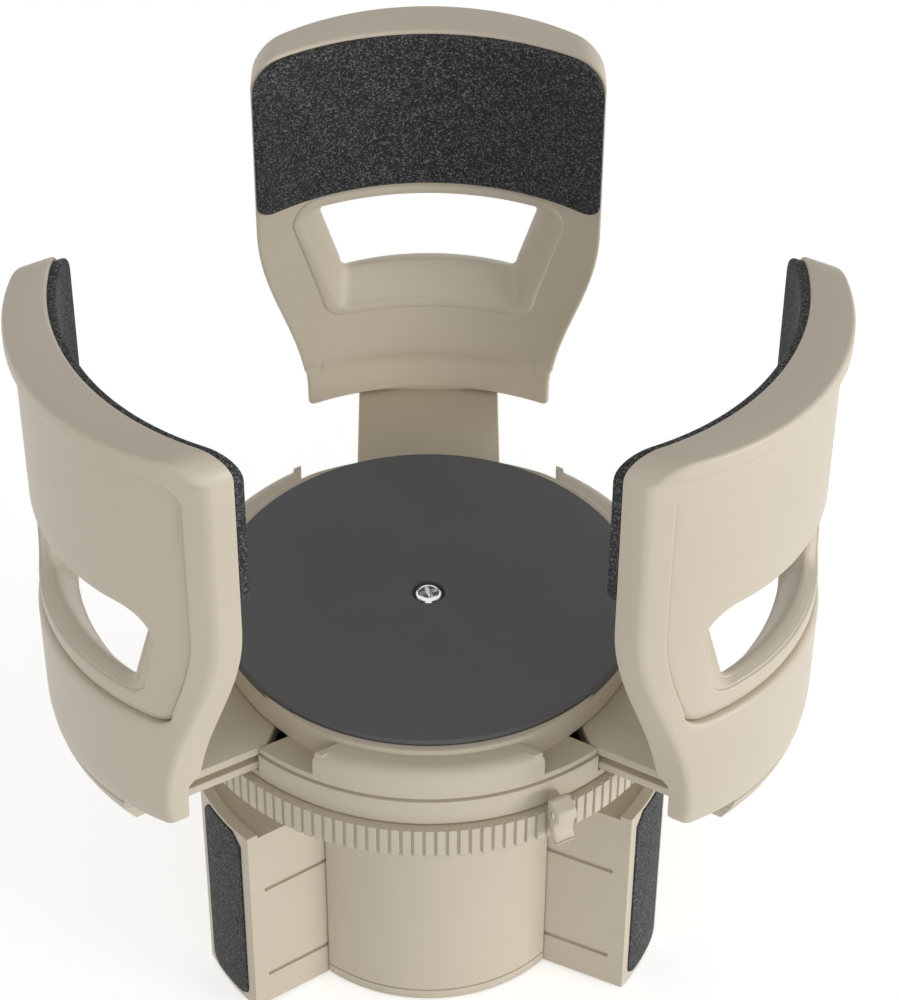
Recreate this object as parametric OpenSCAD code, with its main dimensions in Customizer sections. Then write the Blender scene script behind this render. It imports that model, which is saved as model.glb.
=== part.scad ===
// Cup-holder expander: a base tube with three fins that spread against the walls of a car's cup
// holder, a knurled ring that drives them, and a deck with three sliding arms that grip a wide cup.
// Frame: origin at the centre of the base's underside, +Z up, back arm on +Y.

/* [Base tube] */
// Outside diameter of the tube that drops into the car's cup holder
base_d = 70; // [66:0.5:76]
// Wall of the base tube
base_wall = 2.2; // [1.6:0.1:3]
// Height of the base tube, up to the top of its flange
base_h = 67.8; // [64:0.2:76]
// Thickness of the flange that the ring turns on
flange_t = 2; // [1.6:0.2:3]
// Thickness of the bottom cap
cap_t = 1.2; // [1:0.1:2]
// Radius of the hub post that the ring turns on
hub_r = 6.5; // [5.8:0.1:7.2]
// Radius of the thinner spindle above the hub
spindle_r = 5; // [4:0.1:5.4]
// Angle of the fins ahead of the arms
base_turn = 4; // [0:1:20]

/* [Fins] */
// Width of a fin
fin_w = 19; // [15:0.5:20]
// Height of a fin
fin_h = 55; // [45:0.5:58]
// Distance from the axis to the outer face of a spread fin
fin_reach = 53.6; // [50:0.2:56]
// Distance that a fin slides inward
fin_travel = 18; // [14:0.5:18.5]
// Thickness of a fin's walls
fin_wall = 2; // [1.4:0.1:2.6]
// Thickness of a fin's outer plate
fin_plate = 2.6; // [2:0.1:3.4]
// Thickness of a fin's grip pad
pad_t = 1.3; // [1:0.1:2]

/* [Twist ring] */
// Outside diameter of the knurled ring
ring_d = 108.6; // [107:0.2:112]
// Height of the knurled ring
ring_h = 7.6; // [7:0.1:9]
// Radial thickness of the ring's rim
ring_wall = 5.2; // [4:0.1:5.6]
// Thickness of the ring's cam disc
cam_t = 3; // [2.4:0.1:3.6]
// Number of grooves around the ring
rib_count = 144; // [72:12:180]
// Width of a groove
rib_gap = 0.5; // [0.4:0.05:1]
// Depth of a groove
rib_depth = 0.5; // [0.4:0.05:0.6]
// Turn of the ring from spread fins to closed fins
twist_angle = 90; // [80:2.5:100]

/* [Housing] */
// Outside diameter of the deck
deck_d = 104; // [102:0.2:106]
// Outside diameter of the skirt under the deck
skirt_d = 104.8; // [104:0.2:107]
// Height of the skirt
skirt_h = 6.3; // [5.8:0.1:7]
// Height of the deck above the skirt
deck_h = 8; // [7:0.1:10]
// Wall of the deck, the skirt and the bearing cup
shell_wall = 2; // [1.6:0.1:2.4]
// Thickness of the bearing cup's floor
cup_floor = 3; // [2:0.1:3.4]
// Thickness of the scroll plate
scroll_t = 3; // [2.4:0.1:3.6]
// Turn of the scroll plate over the arms' whole travel
scroll_angle = 110; // [100:1:112]
// Radius of the pins that run in the cam and scroll slots
pin_r = 2; // [1.5:0.1:2.2]

/* [Mat and screw] */
// Diameter of the mat
mat_d = 90; // [86:0.5:90]
// Thickness of the mat
mat_t = 2; // [1.5:0.1:3]
// Radius of the centre screw's shank
screw_r = 2; // [1.6:0.1:2.4]
// Radius of the centre screw's head
screw_head_r = 3.2; // [3:0.1:3.8]
// Height of the centre screw's head
screw_head_h = 2.2; // [1.8:0.1:2.6]

/* [Arms] */
// Depth of the cup space above the mat
cup_depth = 90; // [70:1:110]
// Distance from the axis to the rim's outer face, arms out
arm_reach = 85; // [84:0.2:88]
// Distance that an arm slides inward
arm_travel = 32; // [26:0.5:32]
// Radius of the rim's outer arc
arm_outer_r = 49.5; // [48:0.1:54]
// Radius of the arm's inner arc
arm_inner_r = 55.7; // [53:0.1:58]
// Thickness of an arm at its middle
arm_t = 10; // [8:0.1:10.5]
// Width of an arm at the rim
arm_w = 74; // [66:0.5:76]
// Width of an arm at its foot
arm_foot_w = 55; // [50:0.5:55.5]
// Radius of the arm's upper corners
arm_corner = 6; // [3:0.5:10]
// How far the rim stands proud of the arm's face
rim_lip = 1; // [0.6:0.1:1.6]
// Thickness of the liner on the arm's inner face
liner_t = 1.8; // [1:0.1:2.4]
// Thickness of the arm's outer cover
cover_t = 2; // [1.6:0.1:2.4]
// Height of the arm's outer cover
cover_h = 63; // [60:0.5:66]
// Distance from an arm's edge to its outer cover
cover_in = 4; // [3:0.1:5]
// Height of the window through an arm, at its narrowest
window_h = 20.9; // [16:0.1:22]
// Width of the slide rail under an arm
rail_w = 32; // [26:0.5:32]
// How far the slide rail runs on past its pin
rail_end = 1.5; // [1:0.1:1.6]
// Height of the slide rail
rail_h = 6; // [5.6:0.1:7]

/* [Lock lever] */
// Direction of the lock lever, from +X
lever_angle = 299; // [290:1:310]
// Width of the lever
lever_w = 6; // [4:0.1:7]
// Radius of the lever's pin
lever_pin_r = 0.8; // [0.6:0.05:1]

/* [Hidden] */
$fn = 96;

BEIGE = [0.78, 0.73, 0.64];
PAD = [0.09, 0.09, 0.095];
MAT = [0.25, 0.25, 0.26];
STEEL = [0.72, 0.72, 0.74];

// Directions of the three arms, and of the gaps between them
BACK = 90;
LEFT = 210;
RIGHT = 330;
SIDES = [BACK, LEFT, RIGHT];
HALF_WAY = 60;

// Clearances: pieces that run over each other, a shaft in its hole, a piece set into another
run_gap = 0.3;
fit = 0.05;
seat_gap = 0.15;
over = 1;
press_gap = 0.01;

// Heights of the stack, from the floor up
ring_z = base_h + run_gap;
cam_top = ring_z + cam_t;
ring_top = ring_z + ring_h;
cup_z = cam_top + run_gap;
scroll_z = cup_z + cup_floor + run_gap;
rail_z = scroll_z + scroll_t + run_gap;
rail_top = rail_z + rail_h;
deck_under = rail_top + run_gap;
skirt_z = ring_top + run_gap;
seam_z = skirt_z + skirt_h;
deck_top = seam_z + deck_h;
mat_top = deck_top + mat_t;
rim_z = mat_top + cup_depth;
arm_z = deck_under + run_gap;

// Radii of the housing
base_r = base_d / 2;
ring_r = ring_d / 2;
cup_r = ring_r - ring_wall - run_gap;
cup_inner_r = cup_r - shell_wall;
scroll_r = cup_inner_r - run_gap;
skirt_r = skirt_d / 2;
plate_t = 2.4;

// Deck: the bead round its mat and the rounding of its edge
bead_w = 1.9;
bead_h = 1.1;
edge_round = 2.4;
deck_r = max(deck_d / 2, mat_d / 2 + bead_w + edge_round + 0.6);

// Fins: inner end of the body, places of the riser and its pin with the fins spread
fin_pin_v = base_r - base_wall - run_gap - pin_r - 1;
riser_out = fin_pin_v + pin_r + 0.8;
riser_in = fin_pin_v - pin_r - 1;
fin_in = riser_in;
riser_w = 2 * pin_r + 3.2;
fin_floor = 0.3;
pad_depth = pad_t - 0.3;
pad_side = 2.4;
rib_low_z = 9.4;
rib_high_z = 37;
rib_h = 1.2;
rib_in = 0.7;
guide_inset = 3.4;

// Line round the tube above its foot
foot_line_z = 3;
foot_line = 0.35;

// Arms: centres of the two arcs, with the arms out
outer_c = arm_reach - arm_outer_r;
inner_c = arm_reach - arm_t - arm_inner_r;
body_r = arm_outer_r - rim_lip;
panel_r = body_r - 0.7;
relief = 2.3;
relief_z = mat_top + 1.2;
relief_slope = 2.3;
foot_round = 22;
slot_edge = 5.5;
arm_pin_v = scroll_r - slot_edge;
rail_in = arm_pin_v - pin_r - rail_end;
rail_nose = 6;
pin_roof = 1.5;
groove_z = rail_z + 2.2;
groove_h = 1.8;
groove_in = 1.8;
guide_r = cup_inner_r - run_gap;
groove_end = arm_travel + sqrt(pow(guide_r, 2) - pow(rail_w / 2 - groove_in, 2)) + run_gap;
shape_low = arm_z + 4.3;
shape_high = rim_z - 42.4;
shape_steps = 18;
corner_steps = 6;

// Window through an arm: its widths at the inner and the outer face, and its sill, which rises
// to a rounded hump inside the wall
win_top = rim_z - 41.2;
sill_z = win_top - window_h;
sill_outer_drop = 1;
sill_inner_drop = 8.3;
sill_depth = 4.2;
win_low = sill_z - sill_inner_drop;
win_inner_top = 47.6;
win_inner_base = 31;
win_outer_top = 58;
win_outer_base = 47;
win_corner = 3;
frame_w = 2.6;
frame_out = 0.6;

// Panel of the arm's cover
panel_top = rim_z - 6.3;
panel_z = panel_top - cover_h;
panel_corner = 5;

// Deck pockets that take the arms' feet when the arms are in
pocket_c = inner_c - arm_travel;
pocket_r = arm_inner_r + relief - run_gap;
pocket_w = arm_foot_w + 1.6;

// Lock lever: its pivot, the ear that carries it and its nose
lever_r = ring_r + 2.9;
lever_z = skirt_z + 1.6;
ear_r = 1.5;
ear_t = 1.5;
ear_gap = 0.2;
nose_gap = 0.35;
nose_side = 0.1;

function on_circle(r, a, c = [0, 0]) = [c[0] + r * cos(a), c[1] + r * sin(a)];
function arc(r, a0, a1, n, c = [0, 0]) = [for (i = [0:n]) on_circle(r, a0 + (a1 - a0) * i / n, c)];
function ease(t) = (1 - cos(180 * min(1, max(0, t)))) / 2;

// Half width of an arm at height z: narrow at the foot, wide at the rim
function arm_half(z) =
    (arm_foot_w + (arm_w - arm_foot_w) * ease((z - shape_low) / (shape_high - shape_low))) / 2;

// Right half of an arm's outline, from its foot up, drawn in by some distance
function arm_side(drop, low, high) = concat(
    [for (i = [0:shape_steps])
        let (z = low + (shape_high - low) * i / shape_steps) [arm_half(z) - drop, z]],
    arc(arm_corner, 0, 90, corner_steps, [arm_w / 2 - drop - arm_corner, high - arm_corner]));

function mirrored(pts) = [for (i = [len(pts) - 1:-1:0]) [-pts[i][0], pts[i][1]]];

// Spiral track of a pin: the radius falls evenly as the plate turns
function track(r0, travel, turn, t) = on_circle(r0 - travel * t, -turn * t);
function track_dir(r0, travel, turn, t) = let (r = r0 - travel * t, k = travel / (turn * PI / 180))
    -turn * t + atan2(-r, -k);
function track_side(r0, travel, turn, half, steps) = [for (i = [0:steps])
    on_circle(half, track_dir(r0, travel, turn, i / steps) + 90, track(r0, travel, turn, i / steps))];
function reversed(pts) = [for (i = [len(pts) - 1:-1:0]) pts[i]];
function track_end(r0, travel, turn, half, t, from) = let (n = 8) [for (i = [1:n - 1])
    on_circle(half, track_dir(r0, travel, turn, t) + from - 180 * i / n, track(r0, travel, turn, t))];

module tube(r, wall, h) {
    difference() {
        cylinder(r = r, h = h);
        translate([0, 0, -over]) cylinder(r = r - wall, h = h + 2 * over);
    }
}

// Turns a piece that points along +Y to a direction measured from +X
module facing(a) {
    rotate([0, 0, a - 90]) children();
}

// Raises an X-Z outline into a block that runs along Y
module through_y(y0, y1) {
    translate([0, y1, 0]) rotate([90, 0, 0]) linear_extrude(y1 - y0) children();
}

module spiral_slot(r0, travel, turn, half, h) {
    steps = 30;
    linear_extrude(h) polygon(concat(
        track_side(r0, travel, turn, half, steps),
        track_end(r0, travel, turn, half, 1, 90),
        reversed(track_side(r0, travel, turn, -half, steps)),
        track_end(r0, travel, turn, half, 0, -90)));
}

module fin_ways(a) {
    facing(a + base_turn) children();
}

// Base tube with hub, webs, fin guides and top flange
module base_tube() {
    slot_w = fin_w + 2 * run_gap;
    guide_wall = 1.8;
    guide_in = riser_in - fin_travel + guide_inset;
    color(BEIGE) difference() {
        union() {
            translate([0, 0, cap_t]) tube(base_r, base_wall, base_h - cap_t);
            translate([0, 0, base_h - flange_t]) cylinder(r = cup_r, h = flange_t);
            translate([0, 0, cap_t]) cylinder(r = hub_r, h = cup_z - cap_t);
            translate([0, 0, cup_z - over]) cylinder(r = spindle_r, h = deck_under - cup_z + over);
            for (a = SIDES) {
                facing(a + base_turn + HALF_WAY) base_web();
                for (s = [-1, 1]) fin_ways(a) base_guide(s, slot_w, guide_wall, guide_in);
            }
        }
        for (a = SIDES) {
            fin_ways(a) translate([-slot_w / 2, base_r - base_wall - 4, -over])
                cube([slot_w, base_wall + 8, fin_h + run_gap + over]);
            fin_ways(a) translate([-riser_w / 2 - run_gap, riser_in - fin_travel - run_gap, base_h - flange_t - over])
                cube([riser_w + 2 * run_gap, riser_out - riser_in + fin_travel + 2 * run_gap, flange_t + 2 * over]);
            facing(a + base_turn + HALF_WAY) translate([0, boss_v, -over]) cylinder(r = boss_screw_r, h = 12, $fn = 24);
        }
        translate([0, 0, screw_end_z() - 2]) cylinder(r = screw_r + fit, h = deck_top, $fn = 32);
        translate([0, 0, foot_line_z]) tube_between(base_r - foot_line, base_r + over, foot_line);
    }
}

boss_v = base_r - base_wall - 7;
boss_screw_r = 1.2;

module base_web() {
    web = 2;
    translate([-web / 2, hub_r - over, cap_t]) cube([web, base_r - base_wall - hub_r + over + 0.4, base_h - cap_t]);
    translate([0, boss_v, cap_t]) cylinder(r = 3.2, h = 12, $fn = 32);
}

// One guide wall beside a fin, with the two ribs that run in the fin's grooves
module base_guide(s, slot_w, wall, inner) {
    end = sqrt(pow(base_r - base_wall / 2, 2) - pow(slot_w / 2 + wall, 2));
    x = s > 0 ? slot_w / 2 : -slot_w / 2 - wall;
    translate([x, inner, cap_t]) cube([wall, end - inner, fin_h + 1.5]);
    for (z = [rib_low_z, rib_high_z])
        translate([s > 0 ? slot_w / 2 - rib_in : -slot_w / 2 - over, fin_in + over, z - rib_h / 2 + 0.2])
            cube([rib_in + over, end - fin_in - 2.4 * over, rib_h - 0.4]);
}

// Bottom cap: a disc cut out for the three fins
module bottom_cap() {
    color(BEIGE) difference() {
        cylinder(r = base_r - 0.4, h = cap_t);
        for (a = SIDES) {
            fin_ways(a) translate([-fin_w / 2 - run_gap, fin_in - fin_travel - run_gap, -over])
                cube([fin_w + 2 * run_gap, base_r, cap_t + 2 * over]);
            facing(a + base_turn + HALF_WAY) translate([0, boss_v, -over])
                cylinder(r = boss_screw_r + fit, h = cap_t + 2 * over, $fn = 24);
        }
    }
}

// Three screws that hold the bottom cap
module bottom_screws() {
    color(STEEL) for (a = SIDES) facing(a + base_turn + HALF_WAY) translate([0, boss_v, 0.2])
        rotate_extrude($fn = 24) polygon([
            [0, 0.6], [0.5, 0.6], [0.5, 0], [boss_screw_r - fit, 0], [boss_screw_r - fit, 9.5], [0.6, 10.6], [0, 10.6]]);
}

// Outline of the grip pad on a fin's face
module pad_outline(grow) {
    half = fin_w / 2 - pad_side + grow;
    low = fin_floor + 1.6 - grow;
    high = fin_h - 1.2 + grow;
    polygon(concat(
        arc(3, 270, 360, 5, [half - 3, low + 3]),
        [[half, high - 3], [half - 2.4, high], [-half + 2.4, high], [-half, high - 3]],
        arc(3, 180, 270, 5, [-half + 3, low + 3])));
}

// Fin that points along +Y: a hollow box with a curved outer plate and a riser for its pin
module fin() {
    body_h = fin_h - 1 - fin_floor;
    inner_w = fin_w - 2 * fin_wall;
    hollow_end = fin_reach - fin_plate - 1;
    color(BEIGE) difference() {
        union() {
            intersection() {
                translate([-fin_w / 2, fin_in, fin_floor]) cube([fin_w, fin_reach - fin_in, body_h]);
                cylinder(r = fin_reach - over, h = fin_h);
            }
            intersection() {
                translate([-fin_w / 2, fin_reach - fin_plate - 4, fin_floor]) cube([fin_w, fin_plate + 5, fin_h - fin_floor]);
                difference() {
                    cylinder(r = fin_reach, h = fin_h);
                    translate([0, 0, -over]) cylinder(r = fin_reach - fin_plate, h = fin_h + 2 * over);
                }
            }
            translate([-riser_w / 2, riser_in, fin_h - 4]) cube([riser_w, riser_out - riser_in, base_h - fin_h + 4]);
        }
        difference() {
            translate([-inner_w / 2, fin_in - over, fin_floor + fin_wall])
                cube([inner_w, hollow_end - fin_in + over, fin_h - 1 - 2 * fin_wall - fin_floor]);
            translate([-riser_w / 2, riser_in - 2 * over, fin_h - 8]) cube([riser_w, riser_out - riser_in + 2 * over, 9]);
        }
        translate([0, fin_pin_v, fin_h - 3]) cylinder(r = pin_r + press_gap, h = base_h, $fn = 32);
        intersection() {
            through_y(fin_reach - 8, fin_reach + 2) pad_outline(seat_gap);
            difference() {
                cylinder(r = fin_reach + 2, h = fin_h + over);
                cylinder(r = fin_reach - pad_depth, h = fin_h + over);
            }
        }
        for (z = [rib_low_z, rib_high_z], s = [-1, 1])
            translate([s > 0 ? fin_w / 2 - rib_in : -fin_w / 2 - over, fin_in - over, z - rib_h / 2])
                cube([rib_in + over, fin_reach - fin_plate - fin_in - 1, rib_h]);
    }
}

module fin_pad() {
    color(PAD) intersection() {
        through_y(fin_reach - 8, fin_reach + 2) pad_outline(0);
        difference() {
            cylinder(r = fin_reach - pad_depth + pad_t, h = fin_h);
            translate([0, 0, -over]) cylinder(r = fin_reach - pad_depth, h = fin_h + 2 * over);
        }
    }
}

// Steel pin that stands in a fin's riser and runs in the ring's cam slot
module fin_pin() {
    color(STEEL) translate([0, fin_pin_v, fin_h - 3]) cylinder(r = pin_r, h = cam_top - 0.2 - fin_h + 3, $fn = 32);
}

// Knurled ring with a cam disc inside it
module twist_ring() {
    pitch = 360 / rib_count;
    gap = rib_gap / ring_r * 180 / PI;
    base_r_cut = ring_r - rib_depth;
    start = lever_angle;
    bevel = 0.08;
    color(BEIGE) difference() {
        translate([0, 0, ring_z]) linear_extrude(ring_h) polygon([for (i = [0:rib_count - 1], k = [0:3])
            let (a = start + i * pitch + [-gap / 2, gap / 2, gap / 2 + bevel, pitch - gap / 2 - bevel][k])
            on_circle(k < 2 ? base_r_cut : ring_r, a)]);
        translate([0, 0, cam_top]) cylinder(r = ring_r - ring_wall, h = ring_h);
        translate([0, 0, ring_z - over]) cylinder(r = hub_r + fit, h = cam_t + 2 * over);
        for (a = SIDES) translate([0, 0, ring_z - over]) rotate([0, 0, a + base_turn])
            spiral_slot(fin_pin_v, fin_travel, twist_angle, pin_r + seat_gap, cam_t + 2 * over);
    }
}

// Lower housing: bearing cup, flange and skirt, with windows for the rails and an ear for the lever
module lower_housing() {
    flange_top = rail_z - run_gap;
    color(BEIGE) difference() {
        union() {
            translate([0, 0, cup_z]) cylinder(r = cup_r, h = cup_floor);
            translate([0, 0, cup_z]) tube(cup_r, shell_wall, flange_top - cup_z);
            translate([0, 0, skirt_z]) tube(skirt_r, skirt_r - cup_inner_r, flange_top - skirt_z);
            translate([0, 0, skirt_z]) tube(skirt_r, shell_wall + 0.4, skirt_h);
            facing(lever_angle) lever_ear();
        }
        for (a = SIDES) facing(a) rail_window(flange_top);
        translate([0, 0, cup_z - over]) cylinder(r = spindle_r + fit, h = cup_floor + 2 * over);
        facing(lever_angle) lever_axis() cylinder(r = lever_pin_r + fit, h = lever_w + 2 * over, center = true, $fn = 24);
    }
}

module rail_window(z) {
    translate([-rail_w / 2 - run_gap, cup_inner_r - 8, z]) cube([rail_w + 2 * run_gap, 20, deck_under - z]);
}

module lever_ear() {
    translate([-ear_t / 2, skirt_r - 1.2, lever_z - ear_r]) cube([ear_t, lever_r - skirt_r + 1.2, 2 * ear_r]);
    lever_axis() cylinder(r = ear_r, h = ear_t, center = true, $fn = 32);
}

module lever_axis() {
    translate([0, lever_r, lever_z]) rotate([0, 90, 0]) children();
}

// Plate with three spiral slots that keeps the arms in step
module scroll_plate() {
    color(MAT) difference() {
        translate([0, 0, scroll_z]) cylinder(r = scroll_r, h = scroll_t);
        translate([0, 0, scroll_z - over]) cylinder(r = spindle_r + fit, h = scroll_t + 2 * over);
        for (a = SIDES) translate([0, 0, scroll_z - over]) rotate([0, 0, a])
            spiral_slot(arm_pin_v, arm_travel, scroll_angle, pin_r + seat_gap, scroll_t + 2 * over);
    }
}

// Deck shell: top plate, wall, pockets for the arms' feet, and guides for the rails
module deck_shell() {
    bead_out = mat_d / 2 + bead_w;
    bead_in = mat_d / 2 + 0.2;
    bead_z = deck_top + bead_h;
    color(BEIGE) difference() {
        union() {
            difference() {
                rotate_extrude() polygon(concat(
                    [[0, seam_z], [deck_r - 0.5, seam_z], [deck_r, seam_z + 0.5]],
                    arc(edge_round, 0, 90, 5, [deck_r - edge_round, deck_top - edge_round]),
                    [[bead_out, deck_top]],
                    arc(0.4, 0, 90, 3, [bead_out - 0.4, bead_z - 0.4]),
                    [[bead_in, bead_z], [bead_in, deck_top], [0, deck_top]]));
                translate([0, 0, seam_z - over]) cylinder(r = deck_r - shell_wall, h = deck_h - plate_t + over);
            }
            translate([0, 0, deck_under]) cylinder(r = 8, h = deck_top - deck_under);
            for (a = SIDES) facing(a) deck_ways();
        }
        for (a = SIDES) facing(a) {
            arm_pocket(deck_under, deck_h);
            translate([-rail_w / 2 - run_gap, deck_r - 12, seam_z - over])
                cube([rail_w + 2 * run_gap, 20, deck_under - seam_z + over]);
        }
        translate([0, 0, deck_under - over]) cylinder(r = screw_r + fit, h = deck_h + 4, $fn = 32);
        translate([0, 0, screw_seat_z()]) cylinder(r = screw_head_r + 0.4, h = deck_h, $fn = 48);
    }
}

// Space that an arm's foot moves into, above height z
module arm_pocket(z, h) {
    difference() {
        translate([-pocket_w / 2, 0, z]) cube([pocket_w, deck_r + 4, h]);
        translate([0, pocket_c, z - over]) cylinder(r = pocket_r, h = h + 2 * over);
    }
}

// Walls under the deck for one arm: the pocket's back, sides and floor, and two rail guides
module deck_ways() {
    wall = 1.6;
    lip_z = groove_z + run_gap;
    lip_h = groove_h - 2 * run_gap;
    guide_x = rail_w / 2 + run_gap;
    lip_in = groove_in - 0.2;
    guide_z = rail_z + run_gap;
    intersection() {
        translate([0, 0, seam_z]) cylinder(r = deck_r - 0.5, h = deck_h);
        union() {
            intersection() {
                translate([0, pocket_c, deck_under]) tube(pocket_r, wall, deck_top - deck_under);
                translate([-pocket_w / 2 - wall, 0, deck_under]) cube([pocket_w + 2 * wall, deck_r, deck_h]);
            }
            for (s = [-1, 1]) {
                translate([s > 0 ? pocket_w / 2 : -pocket_w / 2 - wall, pocket_back_v(), deck_under - wall])
                    cube([wall, deck_r, deck_top - deck_under + wall]);
                translate([s > 0 ? guide_x : -pocket_w / 2 - wall, pocket_back_v(), deck_under - wall])
                    cube([pocket_w / 2 + wall - guide_x, deck_r, wall]);
            }
        }
    }
    intersection() {
        translate([0, 0, guide_z]) cylinder(r = guide_r, h = deck_top - guide_z);
        for (s = [-1, 1]) {
            translate([s > 0 ? guide_x : -guide_x - wall, 22, guide_z]) cube([wall, deck_r, deck_top - plate_t - guide_z + 0.2]);
            translate([s > 0 ? guide_x - lip_in : -guide_x - 0.2, 24, lip_z]) cube([lip_in + 0.2, deck_r, lip_h]);
        }
    }
}

function pocket_back_v() = pocket_c + sqrt(pocket_r * pocket_r - pocket_w * pocket_w / 4) - 1.6;

// Round mat on the deck
module deck_mat() {
    r = mat_d / 2;
    color(MAT) rotate_extrude() polygon([
        [screw_head_r + 0.4, deck_top], [r, deck_top], [r, mat_top - 0.4], [r - 0.4, mat_top],
        [screw_head_r + 0.8, mat_top], [screw_head_r + 0.4, mat_top - 0.4]]);
}

washer_t = 0.6;
function screw_seat_z() = mat_top - 0.4 - screw_head_h - washer_t;
function screw_end_z() = screw_seat_z() - 32;

// Pan-head screw with a cross recess that holds the housing to the base
module centre_screw() {
    seat = screw_seat_z() + washer_t;
    cross_w = 0.9;
    cross_l = screw_head_r * 1.15;
    color(STEEL) difference() {
        rotate_extrude($fn = 48) polygon(concat(
            [[0, screw_end_z()], [screw_r - 0.8, screw_end_z()], [screw_r, screw_end_z() + 1], [screw_r, seat],
             [screw_head_r, seat], [screw_head_r, seat + screw_head_h * 0.4]],
            arc(screw_head_h * 0.6, 0, 90, 5, [screw_head_r - screw_head_h * 0.6, seat + screw_head_h * 0.4]),
            [[0, seat + screw_head_h]]));
        for (a = [20, 110]) rotate([0, 0, a]) translate([-cross_l / 2, -cross_w / 2, seat + screw_head_h - 1.3])
            cube([cross_l, cross_w, 2]);
    }
}

module screw_washer() {
    color(STEEL) translate([0, 0, screw_seat_z()]) difference() {
        cylinder(r = screw_head_r + 0.2, h = washer_t, $fn = 48);
        translate([0, 0, -over]) cylinder(r = screw_r + fit, h = washer_t + 2 * over, $fn = 32);
    }
}

// Solid of revolution that gives the arm its outer face
module arm_outer(r, rim) {
    drop = foot_round - sqrt(foot_round * foot_round - pow(arm_z + 5.3 - rail_z, 2));
    lip_r = 1.6;
    translate([0, outer_c, 0]) rotate_extrude() polygon(concat(
        [[0, rail_z], [r - drop, rail_z]],
        [for (i = [1:6]) let (z = rail_z + (arm_z + 5.3 - rail_z) * i / 6)
            [r - foot_round + sqrt(foot_round * foot_round - pow(arm_z + 5.3 - z, 2)), z]],
        rim ? concat(
            [[r, rim_z - 3.2 - rim_lip], [r + rim_lip, rim_z - 3.2]],
            arc(lip_r, 0, 90, 5, [r + rim_lip - lip_r, rim_z - lip_r]))
            : [[r, rim_z]],
        [[0, rim_z]]));
}

// Space inside the arm's inner face
module arm_inner(extra) {
    r = arm_inner_r + extra;
    top_r = 0.8;
    translate([0, inner_c, 0]) rotate_extrude() polygon(concat(
        [[0, rail_z - over], [r + relief, rail_z - over], [r + relief, relief_z], [r, relief_z + relief_slope],
         [r, rim_z - top_r]],
        arc(top_r, 180, 90, 3, [r + top_r, rim_z - top_r]),
        [[r + top_r, rim_z + over], [0, rim_z + over]]));
}

// Face-on outline of an arm with its foot
module arm_outline() {
    side = concat(
        [[rail_w / 2, rail_z], [rail_w / 2, arm_z], [arm_foot_w / 2, arm_z]],
        arm_side(0, arm_z + 0.2, rim_z));
    polygon(concat(side, mirrored(side)));
}

module panel_outline(grow) {
    low = panel_z - grow;
    corner = panel_corner;
    half = arm_half(low + corner) - cover_in + grow;
    side = concat(
        arc(corner, 270, 350, 4, [half - corner, low + corner]),
        [for (i = [1:shape_steps])
            let (z = low + corner + (shape_high - low - corner) * i / shape_steps) [arm_half(z) - cover_in + grow, z]],
        arc(arm_corner, 0, 90, corner_steps,
            [arm_w / 2 - cover_in + grow - arm_corner, panel_top + grow - arm_corner]));
    polygon(concat(side, mirrored(side)));
}

// Rounded trapezoid of the window
module window_outline(top_w, base_w, low, high) {
    c = win_corner;
    slope = (top_w - base_w) / 2 / (high - low);
    half_low = base_w / 2 - c + slope * c;
    half_high = top_w / 2 - c - slope * c;
    polygon(concat(
        arc(c, 270, 345, 4, [half_low, low + c]),
        arc(c, -15, 90, 4, [half_high, high - c]),
        arc(c, 90, 195, 4, [-half_high, high - c]),
        arc(c, 195, 270, 4, [-half_low, low + c])));
}

// Window through the wall: flared sides over a sill that is highest inside the wall
module window_cut() {
    slab = 0.1;
    y_in = arm_reach - arm_t - 8;
    y_out = arm_reach + 1;
    hump_r = panel_r - sill_depth;
    slope = sill_inner_drop / (arm_t - sill_depth - 1);
    low_r = hump_r - 9;
    intersection() {
        hull() {
            through_y(y_in, y_in + slab) window_outline(win_inner_top, win_inner_base, win_low, win_top);
            through_y(y_out, y_out + slab) window_outline(win_outer_top, win_outer_base, win_low, win_top + 0.8);
        }
        translate([0, outer_c, 0]) rotate_extrude() polygon([
            [low_r, sill_z - slope * (hump_r - low_r)], [hump_r - 0.6, sill_z - 0.4], [hump_r, sill_z],
            [hump_r + 0.8, sill_z], [panel_r + 4, sill_z - 2 * sill_outer_drop],
            [panel_r + 4, win_top + 4], [low_r, win_top + 4]]);
    }
}

// Low frame that stands proud round the window on the arm's inner face
module window_frame() {
    intersection() {
        through_y(inner_c, arm_reach) window_outline(win_inner_top + 2 * frame_w, win_inner_base + 2 * frame_w,
            win_low - frame_w, win_top + frame_w);
        translate([0, inner_c, 0]) tube_between(arm_inner_r - frame_out, arm_inner_r + over, rim_z);
    }
}

// Slide rail under an arm
module arm_rail() {
    half = rail_w / 2;
    intersection() {
        translate([0, 0, rail_z]) linear_extrude(rail_h) polygon([
            [-rail_nose, rail_in], [rail_nose, rail_in], [half, rail_in + half - rail_nose],
            [half, arm_reach], [-half, arm_reach], [-half, rail_in + half - rail_nose]]);
        arm_outer(body_r, false);
    }
}

// Groove in one side of the rail, long enough for the deck's guides when the arm is in
module rail_groove(s) {
    translate([s > 0 ? rail_w / 2 - groove_in : -rail_w / 2 - over, rail_in - over, groove_z])
        cube([groove_in + over, groove_end - rail_in + over, groove_h]);
}

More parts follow.
